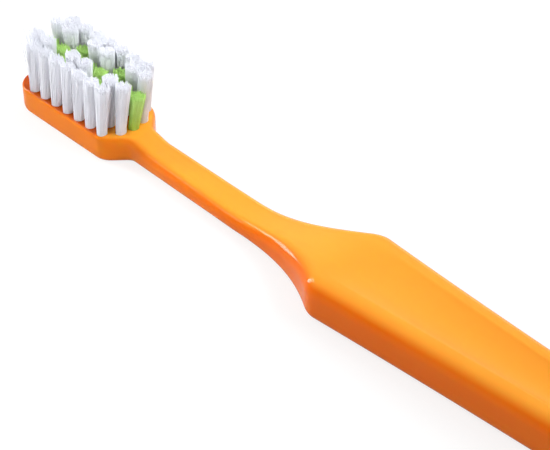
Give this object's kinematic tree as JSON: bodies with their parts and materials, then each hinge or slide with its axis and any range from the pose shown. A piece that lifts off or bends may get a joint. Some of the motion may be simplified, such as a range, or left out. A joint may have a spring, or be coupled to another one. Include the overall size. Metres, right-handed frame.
{
  "type": "manual toothbrush",
  "caption": "Straight manual toothbrush with a glossy handle, narrow neck, dished thumb grip and columns of tall white and short green bristle tufts.",
  "frame": {"origin": "on the plane of the flat back, under the middle of the brush's length and width", "axes": "+X from the head's tip to the handle's tail, +Z from the back to the bristle side, -Y to the brush's left side as seen from the tail with the bristles up"},
  "size_m": [0.186, 0.017, 0.0149],
  "materials": {
    "handle": "smooth glossy orange moulding",
    "bristle_white": "fine white filaments",
    "bristle_green": "fine lime green filaments",
    "anchor": "plain stamped strip"
  },
  "bodies": {
    "root": {"handle": "handle", "tuft_outer_left_1": "bristle_white", "tuft_outer_left_2": "bristle_white", "tuft_outer_left_3": "bristle_white", "tuft_outer_left_4": "bristle_white", "tuft_outer_left_5": "bristle_white", "tuft_outer_left_6": "bristle_white", "tuft_outer_left_7": "bristle_white", "tuft_inner_left_1": "bristle_white", "tuft_inner_left_2": "bristle_white", "tuft_inner_left_3": "bristle_green", "tuft_inner_left_4": "bristle_white", "tuft_inner_left_5": "bristle_white", "tuft_inner_left_6": "bristle_green", "tuft_inner_left_7": "bristle_white", "tuft_inner_left_8": "bristle_white", "tuft_centre_1": "bristle_green", "tuft_centre_2": "bristle_green", "tuft_centre_3": "bristle_green", "tuft_centre_4": "bristle_green", "tuft_centre_5": "bristle_green", "tuft_centre_6": "bristle_green", "tuft_centre_7": "bristle_green", "tuft_centre_8": "bristle_green", "tuft_inner_right_1": "bristle_white", "tuft_inner_right_2": "bristle_white", "tuft_inner_right_3": "bristle_green", "tuft_inner_right_4": "bristle_white", "tuft_inner_right_5": "bristle_white", "tuft_inner_right_6": "bristle_green", "tuft_inner_right_7": "bristle_white", "tuft_inner_right_8": "bristle_white", "tuft_outer_right_1": "bristle_white", "tuft_outer_right_2": "bristle_white", "tuft_outer_right_3": "bristle_white", "tuft_outer_right_4": "bristle_white", "tuft_outer_right_5": "bristle_white", "tuft_outer_right_6": "bristle_white", "tuft_outer_right_7": "bristle_white", "anchors_outer_left": "anchor", "anchors_inner_left": "anchor", "anchors_centre": "anchor", "anchors_inner_right": "anchor", "anchors_outer_right": "anchor"}
  },
  "joints": []
}
